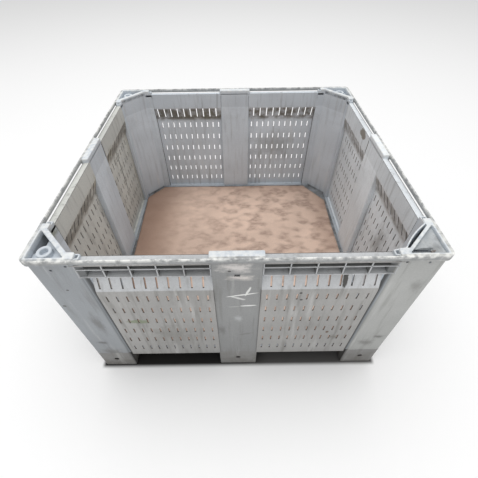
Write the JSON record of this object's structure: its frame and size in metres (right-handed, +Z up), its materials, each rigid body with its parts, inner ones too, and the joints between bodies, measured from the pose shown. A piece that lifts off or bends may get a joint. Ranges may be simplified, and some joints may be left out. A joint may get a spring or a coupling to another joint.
{
  "type": "bulk pallet box",
  "caption": "One-piece moulded plastic bulk box with vented walls, corner columns, centre posts and feet for forks on every side, with a loose brown board liner on its floor",
  "frame": {"origin": "on the ground under the middle of the box", "axes": "+X to the right along the long side, -Y towards the front of the picture, +Z up"},
  "size_m": [1.219, 1.143, 0.787],
  "materials": {
    "body_plastic": "scuffed light grey moulded plastic",
    "liner_board": "plain brown board"
  },
  "bodies": {
    "root": {"box_body": "body_plastic", "floor_liner": "liner_board"}
  },
  "joints": []
}
